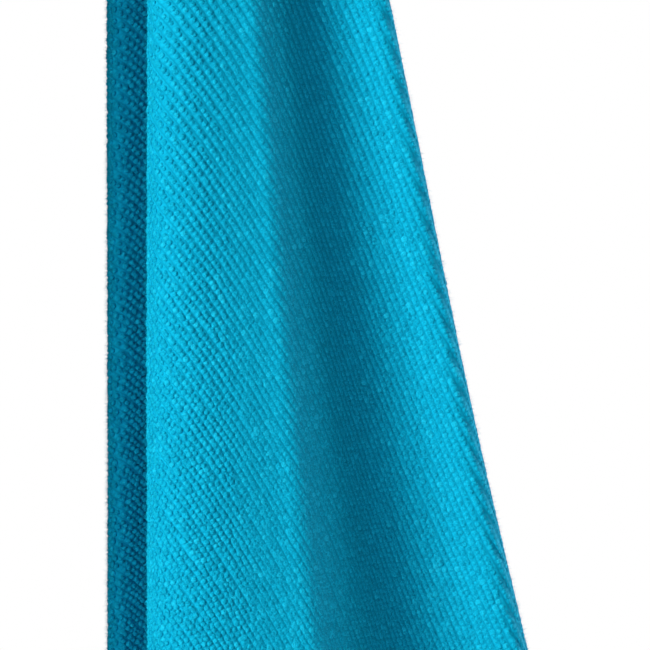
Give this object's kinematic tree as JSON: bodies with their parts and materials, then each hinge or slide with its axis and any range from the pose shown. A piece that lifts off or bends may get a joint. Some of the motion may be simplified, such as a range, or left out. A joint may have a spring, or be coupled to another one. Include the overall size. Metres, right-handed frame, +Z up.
{
  "type": "quick dry towel",
  "caption": "Ribbed terry travel towel hanging in folds from one corner, with bound edges and a webbing loop that opens at a press stud.",
  "frame": {"origin": "where the inside of the hang loop bears on its peg, half way along the strap's width", "axes": "+Z up, the towel hanging down -Z; +X to the right of a person facing the towel; +Y away from them, along the peg"},
  "size_m": [0.1478, 0.1824, 1.1631],
  "materials": {
    "terry": "matte",
    "binding": "matte",
    "webbing": "matte",
    "snap": "satin",
    "thread": "matte",
    "label": "matte"
  },
  "bodies": {
    "towel": {"towel_cloth": "terry", "binding_long_hung_edge": "binding", "binding_short_hung_edge": "binding", "binding_short_low_edge": "binding", "binding_long_low_edge": "binding", "corner_patch": "webbing", "loop_fixed_strap": "webbing", "snap_stud": "snap", "snap_post": "snap", "loop_bartacks": "thread", "care_label": "label"},
    "loop_flap": {"loop_free_strap": "webbing", "snap_cap": "snap", "snap_socket": "snap"}
  },
  "joints": [
    {"name": "loop_opening", "type": "hinge", "parent": "towel", "child": "loop_flap", "pos_m": [0, 0, 0.0006], "axis": [0, -1, 0], "range_deg": [0, 90]}
  ]
}
